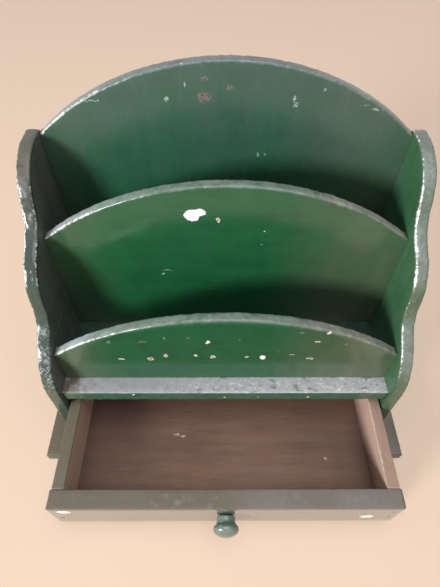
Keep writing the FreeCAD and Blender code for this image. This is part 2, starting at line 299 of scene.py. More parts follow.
class LetterRackFinish(bpy.types.PropertyGroup):
    """Colours of the paint, the wood and what time has left on them."""

    paint: colour("Paint", "Brushed gloss paint", 0.012, 0.105, 0.036)
    deep_paint: colour("Deep paint", "Paint in the hollows of the brush marks", 0.007, 0.068, 0.024)
    # Bluish haze: real haze in scuffs; on the arched boards' upper parts partly haze, partly painted
    # reflection
    film: colour("Film", "Bluish bloom on the arched boards and in scuffs", 0.098, 0.106, 0.155)
    worn_edge: colour("Worn edge", "Thin paint on the rasped edges", 0.16, 0.195, 0.17)
    arch_edge: colour("Arch edge", "Greenish wear on the arched boards' edges", 0.1, 0.18, 0.11)
    # Dark slate: painted shade on the slot floors behind the ledge and partly on the left side's edge; the
    # paint's own dark tone on the back board's edge and the base.
    slate_and_shade: colour("Slate edge", "Edges and sheltered paint darkened to slate", 0.036, 0.045, 0.045)
    # Silvery grey: partly wear and partly painted highlight on the arched boards' left ends, painted glints
    # on the left side's rasp marks.
    silver_wear_and_glint: colour("Cool edge", "Edges rubbed to a silvery grey", 0.44, 0.52, 0.53)
    # Brown on the arched boards' right ends: partly wear nearly to the wood, partly painted warmer light.
    warm_worn_and_lit_edge: colour("Warm edge", "Edges worn nearly to the wood", 0.34, 0.315, 0.24)
    # Pale arrises: rubbed undercoat, and a painted highlight on the sides' arrises and the arched boards'
    # left ends.
    rubbed: colour("Rubbed", "Arrises rubbed down to the undercoat", 0.62, 0.66, 0.62)
    chalk: colour("Chalk", "White ground in the deepest chips", 0.86, 0.87, 0.88)
    cream: colour("Cream", "Old cream coat in the chips", 0.66, 0.58, 0.46)
    earth: colour("Earth", "Pinkish brown primer in the shallow chips", 0.185, 0.137, 0.12)
    scratch: colour("Scratch", "Paint broken by a light scratch", 0.3, 0.42, 0.36)
    dull: colour("Dull", "Faint scuffs and haze that stay in the green", 0.115, 0.215, 0.13)
    stain: colour("Stain", "Rust that shows through the paint over a pin", 0.05, 0.055, 0.026)
    dust: colour("Dust", "Dust on what faces up", 0.355, 0.345, 0.375)
    grime: colour("Grime", "Brownish dirt where hands or the table reach", 0.132, 0.104, 0.072)
    # Greyish film: painted shade on the left side's inner face, dirt on the drawer's front.
    smoke_and_shade: colour("Smoke", "Greyish dirt on the left side and the drawer's front", 0.17, 0.145, 0.155)
    # Olive tone towards the boards' ends: partly dirt, partly painted shade on the ends that lie in shade.
    corner: colour("Corner", "Olive dirt that gathers towards the ends of the boards", 0.118, 0.126, 0.085)
    wood: colour("Wood", "Bare wood inside the drawer", 0.27, 0.135, 0.076)
    pale_wood: colour("Pale wood", "Bare wood where it is rubbed", 0.66, 0.46, 0.37)
    dark_wood: colour("Dark wood", "Bare wood in the grain", 0.15, 0.07, 0.045)
    # Painted shade that darkens the drawer's floor towards its edges and its right wall downwards.
    drawer_shade: colour("Soot", "Dirt in the drawer's corners", 0.085, 0.045, 0.034)
    steel: colour("Steel", "Dull wire of the pins and the screw", 0.42, 0.42, 0.43)
    gloss: share("Gloss", "Roughness of the clean paint", 0.15)


class LetterRackStage(bpy.types.PropertyGroup):
    """Floor, lights and the camera at the photograph's viewing angle."""

    camera_place: position("Camera place", "Where the camera stands", -6.23 * MM, -198.71 * MM, 377.34 * MM)
    camera_pitch: angle("Camera pitch", "How far it looks down", 51.39)
    camera_yaw: angle("Camera yaw", "How far it looks to the right", 0.56)
    camera_roll: angle("Camera roll", "How far it leans", 0.44)
    lens: number("Lens", "Focal length on a 36 mm long side", 26.99, unit="CAMERA")
    floor: colour("Floor", "Plain pale floor", 0.85, 0.62, 0.46)
    backdrop: colour("Backdrop", "Paler tone that the floor shows the camera", 0.95, 0.755, 0.61)
    paleness: share("Paleness", "How much of that tone the floor shows", 0.4)
    lit_place: position("Lit place", "What both lights point at", 0.0, 0.0, 0.08)
    key_place: position("Key place", "Where the soft light on the left hangs", -1.75, -1.8, 0.95)
    key_size: number("Key size", "Side of that light", 0.7, unit="LENGTH")
    key_power: number("Key power", "Power of that light", 76.0, unit="POWER")
    fill_place: position("Fill place", "Where the soft light above hangs", 0.1, -0.3, 1.6)
    fill_size: number("Fill size", "Side of that light", 1.4, unit="LENGTH")
    fill_power: number("Fill power", "Power of that light", 13.0, unit="POWER")
    surround: number("Surround", "Strength of the light from all round", 0.22, min=0)


class Value:
    """Output of a shader node. Sums, differences and products add the nodes that work them out."""

    def __init__(self, tree, socket):
        self.tree = tree
        self.socket = socket

    def calc(self, operation, other=0.0):
        """Result of one Math node."""
        return put(self.tree, "Math", {0: self, 1: other}, operation=operation)

    def __add__(self, other):
        return self.calc("ADD", other)

    def __sub__(self, other):
        return self.calc("SUBTRACT", other)

    def __mul__(self, other):
        return self.calc("MULTIPLY", other)

    def ramp(self, low, high):
        """Smooth step of this value from low to high."""
        return put(self.tree, "MapRange", {"Value": self, "From Min": low, "From Max": high},
                   interpolation_type="SMOOTHSTEP")

    def vector(self, operation, *others, output=0):
        """Result of one Vector Math node."""
        return put(self.tree, "VectorMath", dict(enumerate((self, *others))), output, operation=operation)

    def parts(self):
        """The three parts of this vector or colour."""
        node = add_node(self.tree, "SeparateXYZ", {0: self})
        return [Value(self.tree, socket) for socket in node.outputs]

    def away(self, middle, reach):
        """Distance of this place from a middle, as a share of the reach along each axis."""
        ratio = self.vector("SUBTRACT", middle).vector("DIVIDE", reach)
        return ratio.vector("LENGTH", output="Value")

    def grains(self, scale, detail=2.0, roughness=0.5, output="Fac"):
        """Noise at this place."""
        settings = {"Vector": self, "Scale": scale, "Detail": detail, "Roughness": roughness}
        return put(self.tree, "TexNoise", settings, output)

    def streaks(self, per_metre, detail=2.0, roughness=0.5):
        """Noise at this place, with grains per metre along each axis."""
        return self.vector("MULTIPLY", per_metre).grains(1.0, detail, roughness)

    def laid(self, over, mask):
        """This colour with another over it where a mask says."""
        return blend(self.tree, mask, self, over)


def fill(tree, node, inputs):
    """Fills a node's inputs with values of the tree or plain ones."""
    for key, value in inputs.items():
        if isinstance(value, Value):
            tree.links.new(value.socket, node.inputs[key])
        else:
            node.inputs[key].default_value = value


def add_node(tree, kind, inputs=None, **settings):
    """Adds a node, sets it up and fills its inputs."""
    node = tree.nodes.new("ShaderNode" + kind)
    for name, value in settings.items():
        setattr(node, name, value)
    fill(tree, node, inputs or {})
    return node


def put(tree, kind, inputs=None, output=0, **settings):
    """Adds a node and returns one of its outputs."""
    return Value(tree, add_node(tree, kind, inputs, **settings).outputs[output])


def put_all(tree, kind, inputs=None, **settings):
    """Adds a node and returns its outputs by name."""
    node = add_node(tree, kind, inputs, **settings)
    return {socket.name: Value(tree, socket) for socket in node.outputs}


def opaque(rgb):
    return (*rgb, 1.0)


def blend(tree, factor, low, high):
    """Colour that goes from low to high with the factor. A name stands for that colour of the finish."""
    finish = bpy.context.scene.letter_rack_finish
    low, high = [opaque(getattr(finish, tone)) if isinstance(tone, str) else tone for tone in (low, high)]
    return put(tree, "Mix", {0: factor, 6: low, 7: high}, 2, data_type="RGBA")


def brush_marks_group(place, marks):
    """Long bristle marks: a tone that drifts slowly and a height that changes fast across them."""
    run = place.vector("MULTIPLY", marks)
    broad = run.grains(0.35, 3.0, 0.6)
    fine = run.grains(1.6, 3.0, 0.65)
    blotches = place.grains(60.0, 4.0, 0.68)
    nibs = place.grains(420.0).ramp(0.66, 0.76)
    tone = blotches * 0.5 + (fine * 0.3 + broad * 0.35) * 0.8
    return tone, nibs * 0.5 + fine * 0.5 + broad * 0.5


def edge_rub_group(run, arris):
    """Wear along the edges: thin paint over the edge, undercoat on the arris, which is a painted highlight
    where its weight is raised, and rasp marks.
    """
    tree = run.tree
    along, across, near = run.parts()
    beads = put(tree, "CombineXYZ", {0: along, 1: across}).grains(420.0, 2.0, 0.6)
    patches = put(tree, "CombineXYZ", {0: along, 1: across, 2: 3.0}).grains(55.0, 3.0, 0.6)
    thin = (near * (patches * 1.5 + 0.16)).ramp(0.5, 1.1)
    rubbed = (arris * near * (beads * (patches + 0.55))).ramp(0.4, 0.62)
    strokes = []
    for slant in (1.0, -1.0):
        stroke = put(tree, "CombineXYZ", {0: across * slant + along, 1: across * -slant + along, 2: slant})
        strokes.append(stroke.streaks((680.0, 120.0, 1.0)).ramp(0.53, 0.65))
    crossed = strokes[0].calc("MAXIMUM", strokes[1])
    return thin, rubbed, crossed * near * patches.ramp(0.36, 0.56)


def dust_group(place, up, amount, bare):
    """Dust on what faces up: a soft film and grains that catch the light."""
    clouds = place.grains(130.0, 4.0, 0.65).ramp(bare, bare + 0.4)
    film = up.ramp(0.12, 0.85) * amount * clouds
    return film, film * place.grains(620.0).ramp(0.63, 0.7)


def haze_sheen_and_shade_group(place, low, high, most, ends):
    """Haze that grows between two heights, partly haze in the paint and partly painted reflection of the
    bright room, and an olive tone that grows towards the lower corners, partly dirt and partly painted
    shade.
    """
    across, _, height = place.parts()
    clouds = place.streaks((18.0, 18.0, 36.0), 4.0, 0.6)
    runs = place.streaks((110.0, 110.0, 14.0), 3.0, 0.6)
    uneven = (clouds + runs) * 1.1 - 0.1
    upwards = height.ramp(low, high)
    outwards = (across - CLEAN_MIDDLE).calc("ABSOLUTE").ramp(*GATHERED)
    return upwards * most * uneven, outwards * (upwards * -0.6 + 1.0) * ends * uneven


def paint_chip_group(place, middle, reach):
    """One chipped place and its core: ellipses, which are ragged because the place given is warped."""
    distance = place.away(middle, reach)
    return distance.ramp(1.08, 0.86), distance.ramp(0.62, 0.46)


def scuff_group(place, per_metre, portion):
    """Small scuffs strewn at random."""
    loose = place.grains(240.0, output="Color").vector("MULTIPLY_ADD", (0.0025,) * 3, place)
    cell = put_all(place.tree, "TexVoronoi", {"Vector": loose, "Scale": per_metre})
    lot, size, _ = cell["Color"].parts()
    spot = cell["Distance"].calc("LESS_THAN", size * 0.05 + 0.02)
    return (spot * lot.calc("LESS_THAN", portion),)


def wood_grain_group(place, marks):
    """Straight grain: slow bands, fine pores and a height for both."""
    run = place.vector("MULTIPLY", marks)
    bands = run.grains(0.3, 4.0, 0.6)
    pores = run.grains(2.4, 2.0, 0.6).ramp(0.42, 0.66)
    return bands, pores, pores * -0.5 + bands


# Shared shader groups: what works them out, their inputs and their outputs
SHARED_GROUPS = {
    "Brush Marks": (brush_marks_group, ("Place", "Run"), ("Tone", "Height")),
    "Edge Rub": (edge_rub_group, ("Run", "Arris"), ("Thin", "Rubbed", "Rasp")),
    "Dust": (dust_group, ("Place", "Up", "Amount", "Bare"), ("Film", "Grit")),
    "Old Film": (haze_sheen_and_shade_group, ("Place", "Low", "High", "Most", "Ends"), ("Bloom", "Corner")),
    "Paint Chip": (paint_chip_group, ("Place", "Middle", "Reach"), ("Chip", "Core")),
    "Scuffs": (scuff_group, ("Place", "Per Metre", "Share"), ("Scuff",)),
    "Wood Grain": (wood_grain_group, ("Place", "Run"), ("Bands", "Pores", "Height")),
}
VECTOR_INPUTS = ("Place", "Run", "Middle", "Reach")


def new_group(name):
    """Makes a shared shader group: its sockets, and what its function works out between them."""
    work_out, inputs, outputs = SHARED_GROUPS[name]
    tree = bpy.data.node_groups.new(name, "ShaderNodeTree")
    for label in inputs:
        kind = "NodeSocketVector" if label in VECTOR_INPUTS else "NodeSocketFloat"
        tree.interface.new_socket(name=label, in_out="INPUT", socket_type=kind)
    for label in outputs:
        tree.interface.new_socket(name=label, in_out="OUTPUT", socket_type="NodeSocketFloat")
    given = tree.nodes.new("NodeGroupInput").outputs
    results = work_out(*[Value(tree, given[label]) for label in inputs])
    fill(tree, tree.nodes.new("NodeGroupOutput"), dict(zip(outputs, results)))
    return tree


def use_group(tree, name, *inputs):
    """Places a shared shader group, made when it is first wanted, and returns its outputs by name."""
    group = bpy.data.node_groups.get(name) or new_group(name)
    return put_all(tree, "Group", dict(enumerate(inputs)), node_tree=group)


def new_material(name):
    """Material with a Principled shader. Returns it, its tree and the shader."""
    material = bpy.data.materials.new(name)
    material.use_nodes = True
    tree = material.node_tree
    return material, tree, tree.nodes["Principled BSDF"]


def surface(tree):
    """Place on the piece, how far it faces up, its run along and over an edge, and how near an arris."""
    place = put(tree, "TexCoord", output="Object")
    up = put(tree, "NewGeometry", output="Normal").parts()[2]
    run = put(tree, "Attribute", output="Vector", attribute_name="edge_run")
    arris = put(tree, "Attribute", output="Fac", attribute_name="arris")
    return place, up, run, arris


def roughen(tree, shader, height, reach):
    """Feeds a height into the shader's normal."""
    bump = put(tree, "Bump", {"Strength": 1.0, "Distance": reach, "Height": height})
    fill(tree, shader, {"Normal": bump})


def in_plane(plane, u, v, depth):
    """Vector with two parts along a board's plane and one through it."""
    vector = Vector()
    for axis, part in zip(PLANE_AXES[plane], (u, v, depth)):
        vector[axis] = part
    return vector


def chipped(place, tone, plane, level, marks):
    """Lays the marks on a plane at its level over a tone. Returns the tone and the mask of them all."""
    warp = place.grains(330.0, 3.0, output="Color").vector("ADD", (-0.5,) * 3)
    ragged = warp.vector("MULTIPLY_ADD", in_plane(plane, CHIP_RAGGED, CHIP_RAGGED, 0.0), place)
    crumbs = place.grains(900.0).ramp(0.4, 0.56)
    mask = 0.0
    for kind, spots in marks.items():
        for across, along, half_width, half_length in spots:
            middle = in_plane(plane, across * MM, along * MM, level)
            reach = in_plane(plane, half_width * MM, half_length * MM, CHIP_DEPTH)
            chip = use_group(place.tree, "Paint Chip", ragged, middle, reach)
            broken = chip["Chip"] * crumbs if kind in CRUMBLED else chip["Chip"]
            if kind == "ring":
                tone = tone.laid("cream", broken).laid("earth", chip["Core"])
            else:
                tone = tone.laid(kind, broken)
            mask = broken.calc("MAXIMUM", mask)
    return tone, mask


def ledge_dirt_and_shade(tone, place, film, line):
    """Finish of the shelf: painted shade of the slots behind a line, and on the ledge ahead brown at the
    left end from grime and painted shadow of the left side, mottled, pale and pitted.
    """
    across, ahead, _ = place.parts()
    clouds = place.grains(45.0, 4.0, 0.65).ramp(0.3, 0.6)
    end_grime_and_shade = place.streaks((160.0, 90.0, 160.0), 3.0, 0.7).ramp(0.62, 0.4)
    mottle = place.streaks((170.0, 210.0, 110.0), 4.0, 0.7).ramp(0.44, 0.66)
    pits = place.streaks((120.0, 190.0, 120.0), 3.0, 0.7).ramp(0.54, 0.68)
    pale = place.streaks((300.0, 340.0, 120.0), 3.0, 0.7).ramp(0.52, 0.68)
    pitted = across.ramp(*PITTED) * film
    # Dark slate behind the line: painted shade of the slots.
    tone = tone.laid("slate_and_shade", ahead.ramp(line, line + LEDGE_LINE) * 0.85 * clouds)
    # Brown at the left end: grime and painted shadow of the left side.
    tone = tone.laid("grime", across.ramp(*LEDGE_END_GRIME_AND_SHADE) * film * end_grime_and_shade)
    tone = tone.laid("worn_edge", mottle * film * 0.4).laid("chalk", pitted * 0.16)
    return tone.laid("chalk", pale * pitted * 0.55).laid("deep_paint", pits * pitted * 0.55)


def green_paint(name, marks, film, film_tone="film", ends=0.0, chips=None, dust=0.35, dirt="dust", grit=0.3,
                bare=0.2, drift=0.25, above=None, ledge=None, edges=0.6, edge="worn_edge", warm=False,
                rasp=None, polish=0.0, dull=0.0):
    """Brushed gloss paint. marks are bristle marks per metre along X, Y and Z. film is a film of the tone
    film_tone: two heights and its amount at the second; on the arched boards it is partly haze and partly
    painted reflection of the bright room, and on the left side's inner face and edge it is painted shade.
    ends is the olive tone towards the lower corners, partly dirt and partly painted shade. chips are a
    plane, its level and the marks on it. bare wears holes in the dust, drift lets it into other dirt, above
    keeps it over a height, and ledge keeps it ahead of a Y, lays painted shade on the slots behind it,
    browns its left end and pits it. edges thins the paint on the edges to the tone edge, and warm changes
    that from the left end to the right, silvery at the left and brown at the right, partly wear and partly
    painted light. rasp is the depth of the edges' tool marks, their paleness, which is a painted glint, and
    the two heights they lie between. polish is a clear coat. dull takes gloss off."""
    material, tree, shader = new_material(name)
    place, up, run, arris = surface(tree)
    across, ahead, height = place.parts()
    # Edges silvery at the left end and brown at the right: partly wear, partly painted light from the left.
    if warm:
        silvered = across.ramp(*SILVERY)
        edge = blend(tree, silvered, edge, "silver_wear_and_glint").laid("warm_worn_and_lit_edge", across.ramp(*BROWNISH))
        # The left ends' arrises are rubbed paler still: a painted highlight.
        arris = arris * (silvered * 0.8 + 0.9)
    lying = dust
    if ledge is not None:
        lying = ahead.ramp(ledge + LEDGE_LINE, ledge) * dust
    if above is not None:
        lying = height.ramp(above + DUST_FADE[0], above + DUST_FADE[1]) * dust
    brush = use_group(tree, "Brush Marks", place, marks)
    rub = use_group(tree, "Edge Rub", run, arris)
    dirty = use_group(tree, "Dust", place, up, lying, bare)
    haze_sheen_shade = use_group(tree, "Old Film", place, *film, ends)
    scuff = use_group(tree, "Scuffs", place, SCUFFS_PER_METRE, SCUFF_SHARE)["Scuff"]

    tone = blend(tree, brush["Tone"].ramp(0.25, 0.65), "deep_paint", "paint")
    # Haze at the tops is partly painted reflection; the olive ends are partly dirt, partly painted shade.
    tone = tone.laid(film_tone, haze_sheen_shade["Bloom"]).laid("corner", haze_sheen_shade["Corner"])
    tone = tone.laid("film", scuff * 0.35).laid(edge, rub["Thin"] * edges)
    drifted = blend(tree, place.grains(11.0).ramp(0.45, 0.7) * drift, dirt, "dust")
    tone = tone.laid(drifted, dirty["Film"]).laid("chalk", dirty["Grit"] * grit)
    matt = brush["Tone"] * 0.12 + dirty["Film"] * 0.4
    matt = matt + (bpy.context.scene.letter_rack_finish.gloss + dull - 0.06)
    relief = scuff * -0.6 + brush["Height"]
    if ledge is not None:
        tone = ledge_dirt_and_shade(tone, place, dirty["Film"], ledge)
    if rasp:
        depth, paleness, low, high = rasp
        rasped = rub["Rasp"] * height.ramp(high, high - RASP_TOP_FADE)
        rasped = rasped * height.ramp(low, low + RASP_FOOT_FADE) * ahead.ramp(*RASP_REAR)
        # The rasp marks are laid silvery as painted glints.
        tone = tone.laid("silver_wear_and_glint", rasped * paleness)
        relief = rasped * depth + relief
    # Pale rubbed arrises, a painted highlight where their weight is raised.
    tone = tone.laid("rubbed", rub["Rubbed"])
    if chips:
        tone, broken = chipped(place, tone, *chips)
        matt = broken * 0.5 + matt
        relief = broken * -1.4 + relief
    fill(tree, shader, {"Base Color": tone, "Roughness": matt})
    if polish:
        fill(tree, shader, {"Coat Weight": dirty["Film"] * -polish + polish, "Coat Roughness": 0.05})
    roughen(tree, shader, relief, PAINT_RELIEF)
    return material


def bare_wood(name, marks, rubbed=0.0, shade_towards=None, chips=None):
    """Old bare wood. marks are grain lines per metre along X, Y and Z, and rubbed makes it paler, which on
    the drawer's left wall is partly painted light. shade_towards is a middle and a reach away from which
    painted shade darkens it. chips are a plane, its level and the marks on it."""
    material, tree, shader = new_material(name)
    place, up, run, arris = surface(tree)
    grain = use_group(tree, "Wood Grain", place, marks)
    rub = use_group(tree, "Edge Rub", run, arris)
    dirt = use_group(tree, "Dust", place, up, 0.03, 0.2)
    stain = place.grains(28.0, 3.0, 0.6).ramp(0.3, 0.7)
    tone = blend(tree, grain["Bands"].ramp(0.3, 0.7), "dark_wood", "wood")
    tone = tone.laid("pale_wood", stain * 0.12).laid("pale_wood", rubbed)
    tone = tone.laid("dark_wood", grain["Pores"] * 0.12).laid("pale_wood", rub["Thin"] * 0.3)
    # Cream on rubbed arrises; on the drawer's right wall, where the weight is raised, a painted highlight.
    tone = tone.laid("dust", dirt["Film"]).laid("cream", rub["Rubbed"])
    # Painted shade that darkens the wood away from a lit middle.
    if shade_towards:
        tone = tone.laid("drawer_shade", place.away(*shade_towards).ramp(0.2, 1.1) * 0.75)
    if chips:
        tone, _ = chipped(place, tone, *chips)
    fill(tree, shader, {"Base Color": tone, "Roughness": grain["Bands"] * 0.25 + 0.5})
    roughen(tree, shader, grain["Height"], GRAIN_RELIEF)
    return material


def dull_steel():
    """Wire steel of the pins and the screw, with drawn marks and a little rust."""
    material, tree, shader = new_material("dull_steel")
    place = put(tree, "TexCoord", output="Object")
    drawn = place.streaks((900.0, 900.0, 120.0))
    rust = place.grains(700.0, 3.0).ramp(0.5, 0.7)
    tone = blend(tree, rust * 0.6, "steel", "earth")
    fill(tree, shader, {"Base Color": tone, "Metallic": rust * -0.7 + 1.0, "Roughness": drawn * 0.3 + 0.3})
    return material


class Outline:
    """Closed outline of a board in its plane. Each stretch has its wear, which is 0 where it is butted."""

    def __init__(self, start):
        self.points = []
        self.wear = []
        self.end = Vector(start)

    def stretch(self, place, distance, wear):
        """Samples a stretch, finely where it is worn."""
        count = max(1, round(distance / (FREE_STEP if wear else JOINT_STEP)))
        for i in range(count):
            self.points.append(place(i / count))
            self.wear.append(wear)
        self.end = place(1)

    def line(self, end, wear=0.0):
        start = self.end
        end = Vector(end)
        self.stretch(lambda t: start.lerp(end, t), (end - start).length, wear)

    def arc(self, centre, end, wear):
        """Goes the shorter way round the centre to the end."""
        centre = Vector(centre)
        spoke = self.end - centre
        last = Vector(end) - centre
        turn = math.atan2(spoke.cross(last), spoke.dot(last))
        distance = abs(turn) * spoke.length
        self.stretch(lambda t: centre + Matrix.Rotation(turn * t, 2) @ spoke, distance, wear)

    def worn(self):
        """Wear at each point, faded where worn and butted stretches meet."""
        values = [min(self.wear[i - 1], self.wear[i]) for i in range(len(self.wear))]
        for _ in range(WEAR_FADE_PASSES):
            values = [min(values[i], (values[i - 1] + values[i] + values[(i + 1) % len(values)]) / 3)
                      for i in range(len(values))]
        return values

    def inward(self):
        """Inward offset of each point, fanned out near a corner so that inset rows don't cross there."""
        count = len(self.points)
        edges = [(self.points[(i + 1) % count] - self.points[i]).normalized() for i in range(count)]
        area = sum(self.points[i - 1].cross(self.points[i]) for i in range(count))
        turned = [Vector((-edge.y, edge.x)) * math.copysign(1, area) for edge in edges]
        offsets = [(turned[i - 1] + turned[i]) / (1 + turned[i - 1].dot(turned[i])) for i in range(count)]
        corners = [i for i in range(count) if abs(offsets[i].dot(edges[i])) > CORNER_SLOPE]
        for corner in corners:
            slope = offsets[corner].dot(edges[corner])
            for heading in (1, -1):
                for i in range(corner + heading, corner + heading * count, heading):
                    apart = (self.points[i % count] - self.points[corner]).length
                    if apart > CORNER_REACH or i % count in corners:
                        break
                    edge = edges[i % count] if heading > 0 else edges[(i - 1) % count]
                    offsets[i % count] += edge * heading * slope * (1 - apart / CORNER_REACH)
        return offsets


def edge_section(thickness, radius):
    """Section of an edge from face to face: inset, depth, nearness to the edge and nearness to an arris."""
    rows = [(FACE_BAND, 0.0, 0.0, 0.0)]
    for step in range(ARRIS_STEPS + 1):
        turn = math.pi / 2 * step / ARRIS_STEPS
        rows.append((radius * (1 - math.sin(turn)), radius * (1 - math.cos(turn)), 0.5 + turn / math.pi,
                     math.sin(2 * turn)))
    for step in range(1, EDGE_STEPS):
        rows.append((0.0, radius + (thickness - 2 * radius) * step / EDGE_STEPS, 1.0, 0.0))
    return rows + [(inset, thickness - depth, near, arris)
                   for inset, depth, near, arris in reversed(rows[:ARRIS_STEPS + 2])]


def worn_board(node, outline, plane, materials, arris=None, rubbed=RUBBED):
    """Board on an outline with worn, rasped edges, in place of a CAD node. Materials go on the low face,
    the edge and the high face, which come from the node's box. arris is the worn edges' rounding, and
    rubbed says how far the arrises on the low and the high face are rubbed pale, which where it is raised
    is a painted highlight."""
    shape = bpy.context.scene.letter_rack_shape
    worn_radius = arris or shape.worn_arris
    low, high = [corner[PLANE_AXES[plane][2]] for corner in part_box(node)]
    mesh = bmesh.new()
    run_layer = mesh.verts.layers.float_vector.new("edge_run")
    arris_layer = mesh.verts.layers.float.new("arris")
    inward = outline.inward()
    wear = outline.worn()
    columns = []
    along = 0.0
    for i, point in enumerate(outline.points):
        along += (point - outline.points[i - 1]).length if i else 0.0
        bead = noise.noise(Vector((along / BEAD, low / MM, 0.5)))
        radius = shape.joint_arris + (worn_radius - shape.joint_arris) * wear[i] * (0.85 + 0.4 * bead)
        column = []
        for inset, depth, near, roundness in edge_section(high - low, radius):
            spot = Vector((along / RASP_LENGTH, depth / RASP_WIDTH, low / MM))
            rasped = shape.rasp_depth * wear[i] * near * (0.5 + 0.5 * noise.noise(spot))
            flat = point + inward[i] * (inset + rasped)
            vert = mesh.verts.new(in_plane(plane, flat.x, flat.y, low + depth))
            vert[run_layer] = (along, depth, near * wear[i])
            vert[arris_layer] = roundness * (rubbed[0] if depth < (high - low) / 2 else rubbed[1])
            column.append(vert)
        columns.append(column)
    rows = len(columns[0])
    for i, column in enumerate(columns):
        last = columns[i - 1]
        for k in range(rows - 1):
            face = mesh.faces.new((last[k], column[k], column[k + 1], last[k + 1]))
            face.material_index = 0 if k == 0 else 2 if k == rows - 2 else 1
    mesh.faces.new([column[0] for column in columns]).material_index = 0
    mesh.faces.new([column[-1] for column in columns]).material_index = 2
    return finished(mesh, "worn_" + node, materials, node)


def finished(mesh, name, materials, node):
    """Turns a bmesh into a smooth piece that takes a CAD node's place and rides on its body."""
    bmesh.ops.recalc_face_normals(mesh, faces=mesh.faces)
    for face in mesh.faces:
        face.smooth = True
    data = bpy.data.meshes.new(name)
    mesh.to_mesh(data)
    mesh.free()
    for material in materials:
        data.materials.append(material)
    piece = bpy.data.objects.new(name, data)
    bpy.context.scene.collection.objects.link(piece)
    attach(piece, frame["nodes"][node]["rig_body"])
    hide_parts(node)
    next(row["material_slot"] for row in frame["record"]["subparts"] if row["node"] == node)
    return piece


def box_outline(node, plane, wear):
    """Rectangle of a node's box; wear is for its low-v, high-u, high-v and low-u sides."""
    lowest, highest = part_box(node)
    u, v, _ = PLANE_AXES[plane]
    outline = Outline((lowest[u], lowest[v]))
    outline.line((highest[u], lowest[v]), wear[0])
    outline.line((highest[u], highest[v]), wear[1])
    outline.line((lowest[u], highest[v]), wear[2])
    outline.line((lowest[u], lowest[v]), wear[3])
    return outline


def arch_outline(node, rise):
    """Board between the sides with an arched top, from its box and the arch's rise."""
    lowest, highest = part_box(node)
    left, right = [corner.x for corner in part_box("letter_shelf")]
    top = highest.z
    end = top - rise
    half = (right - left) / 2
    radius = (half ** 2 + rise ** 2) / (2 * rise)
    outline = Outline((left, lowest.z))
    outline.line((right, lowest.z))
    outline.line((right, end))
    outline.arc(((left + right) / 2, top - radius), (left, end), 1.0)
    outline.line((left, lowest.z))
    return outline


def towards(start, end, distance):
    """Point at a distance from the start on the way to the end."""
    return start + (end - start).normalized() * distance


def hollow_centre(lobe_a, radius_a, lobe_b, radius_b, radius):
    """Centre of the hollow that touches two lobes from the front."""
    reach_a = radius_a + radius
    reach_b = radius_b + radius
    across = lobe_b - lobe_a
    span = across.length
    along = (reach_a ** 2 - reach_b ** 2 + span ** 2) / (2 * span)
    unit = across / span
    return lobe_a + unit * along + Vector((unit.y, -unit.x)) * math.sqrt(reach_a ** 2 - along ** 2)


def scroll_outline(node):
    """Side panel with three lobes and two hollows along its front edge."""
    shape = bpy.context.scene.letter_rack_shape
    lowest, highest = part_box(node)
    foot, base = lowest.y, lowest.z
    rear, crest = highest.y, highest.z
    middle_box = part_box("middle_divider")
    middle_end = middle_box[1].z - shape.middle_rise
    upper_radius = shape.upper_lobe_radius
    middle_radius = shape.middle_lobe_radius
    lower_radius = shape.lower_lobe_radius
    upper = Vector((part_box("back_board")[0].y - shape.upper_lobe_ahead, crest - upper_radius))
    middle = Vector((middle_box[0].y + shape.middle_lobe_behind,
                     middle_end + shape.middle_lobe_crest - middle_radius))
    lower = Vector((foot + lower_radius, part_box("letter_shelf")[1].z + shape.lower_lobe_lift))
    upper_hollow = hollow_centre(upper, upper_radius, middle, middle_radius, shape.upper_hollow_radius)
    lower_hollow = hollow_centre(middle, middle_radius, lower, lower_radius, shape.lower_hollow_radius)
    hollow_split = towards(lower_hollow, lower_hollow + HOLLOW_SPLIT, shape.lower_hollow_radius)
    corner = Vector((rear - shape.rear_corner_radius, crest - shape.rear_corner_radius))
    outline = Outline((rear, base))
    outline.line((rear, corner.y), REAR_WEAR)
    outline.arc(corner, (corner.x, crest), CREST_WEAR)
    outline.line((upper.x, crest), CREST_WEAR)
    outline.arc(upper, towards(upper, upper + UPPER_SPLIT, upper_radius), CREST_WEAR)
    outline.arc(upper, towards(upper, upper_hollow, upper_radius), UPPER_WEAR)
    outline.arc(upper_hollow, towards(middle, upper_hollow, middle_radius), UPPER_WEAR)
    outline.arc(middle, towards(middle, middle + MIDDLE_SPLIT, middle_radius), UPPER_WEAR)
    outline.arc(middle, towards(middle, lower_hollow, middle_radius), MIDDLE_WEAR)
    outline.arc(lower_hollow, hollow_split, MIDDLE_WEAR)
    outline.arc(lower_hollow, towards(lower, lower_hollow, lower_radius), LOWER_WEAR)
    outline.arc(lower, towards(lower, lower + LOWER_SPLIT, lower_radius), LOWER_WEAR)
    outline.arc(lower, (foot, lower.y), FOOT_WEAR)
    outline.line((foot, base), TOE_WEAR)
    outline.line((rear, base))
    return outline


def ledge_outline():
    """Shelf in plan, with the left end of the ledge's front battered round."""
    lowest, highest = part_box("letter_shelf")
    outline = Outline((lowest.x, lowest.y))
    outline.line((lowest.x + bpy.context.scene.letter_rack_shape.ledge_corner, lowest.y), LEDGE_END_WEAR)
    outline.line((highest.x, lowest.y), LEDGE_WEAR)
    outline.line((highest.x, highest.y))
    outline.line((lowest.x, highest.y))
    outline.line((lowest.x, lowest.y))
    return outline


